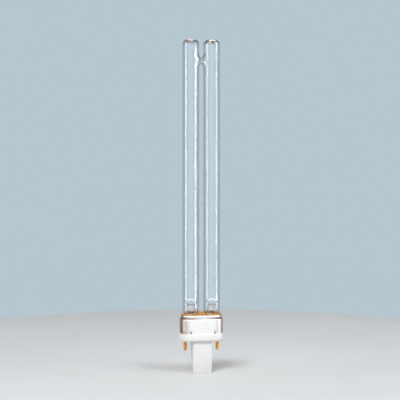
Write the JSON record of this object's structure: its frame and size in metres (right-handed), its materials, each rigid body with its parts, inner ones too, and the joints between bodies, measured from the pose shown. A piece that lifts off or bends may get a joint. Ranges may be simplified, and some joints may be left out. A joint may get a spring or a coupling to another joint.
{
  "type": "uv-c lamp",
  "caption": "Clear twin-tube germicidal discharge lamp on a two-pin plug-in cap with a metal collar, white flange and square starter post.",
  "frame": {"origin": "centre of the starter post's flat end face", "axes": "+Z along the tubes, away from the post; X through the two contact pins; -Y is the front"},
  "size_m": [0.0314, 0.0178, 0.236],
  "materials": {
    "quartz_glass": "clear polished",
    "stem_glass": "clear, fire polished",
    "coated_coil": "chalky white emitter coating",
    "lead_wire": "drawn, heat tinted",
    "plated_tab": "bright plated",
    "collar_metal": "bright drawn",
    "cement": "matt, resin bound",
    "white_plastic": "satin moulded",
    "brass_pin": "bright, slightly tarnished",
    "starter_glass": "clear",
    "bimetal": "rolled",
    "capacitor_coat": "dipped resin",
    "ferrule": "tinned"
  },
  "bodies": {
    "root": {"discharge_tube": "quartz_glass", "left_stem": "stem_glass", "right_stem": "stem_glass", "left_filament": "coated_coil", "right_filament": "coated_coil", "left_outer_lead": "lead_wire", "left_inner_lead": "lead_wire", "right_outer_lead": "lead_wire", "right_inner_lead": "lead_wire", "amalgam_flag": "plated_tab", "collar_shell": "collar_metal", "basing_cement": "cement", "cap_body": "white_plastic", "left_pin": "brass_pin", "right_pin": "brass_pin", "starter_bulb": "starter_glass", "starter_bimetal": "bimetal", "starter_electrode": "lead_wire", "capacitor": "capacitor_coat", "capacitor_leads": "lead_wire", "left_splice": "ferrule", "right_splice": "ferrule"}
  },
  "joints": []
}
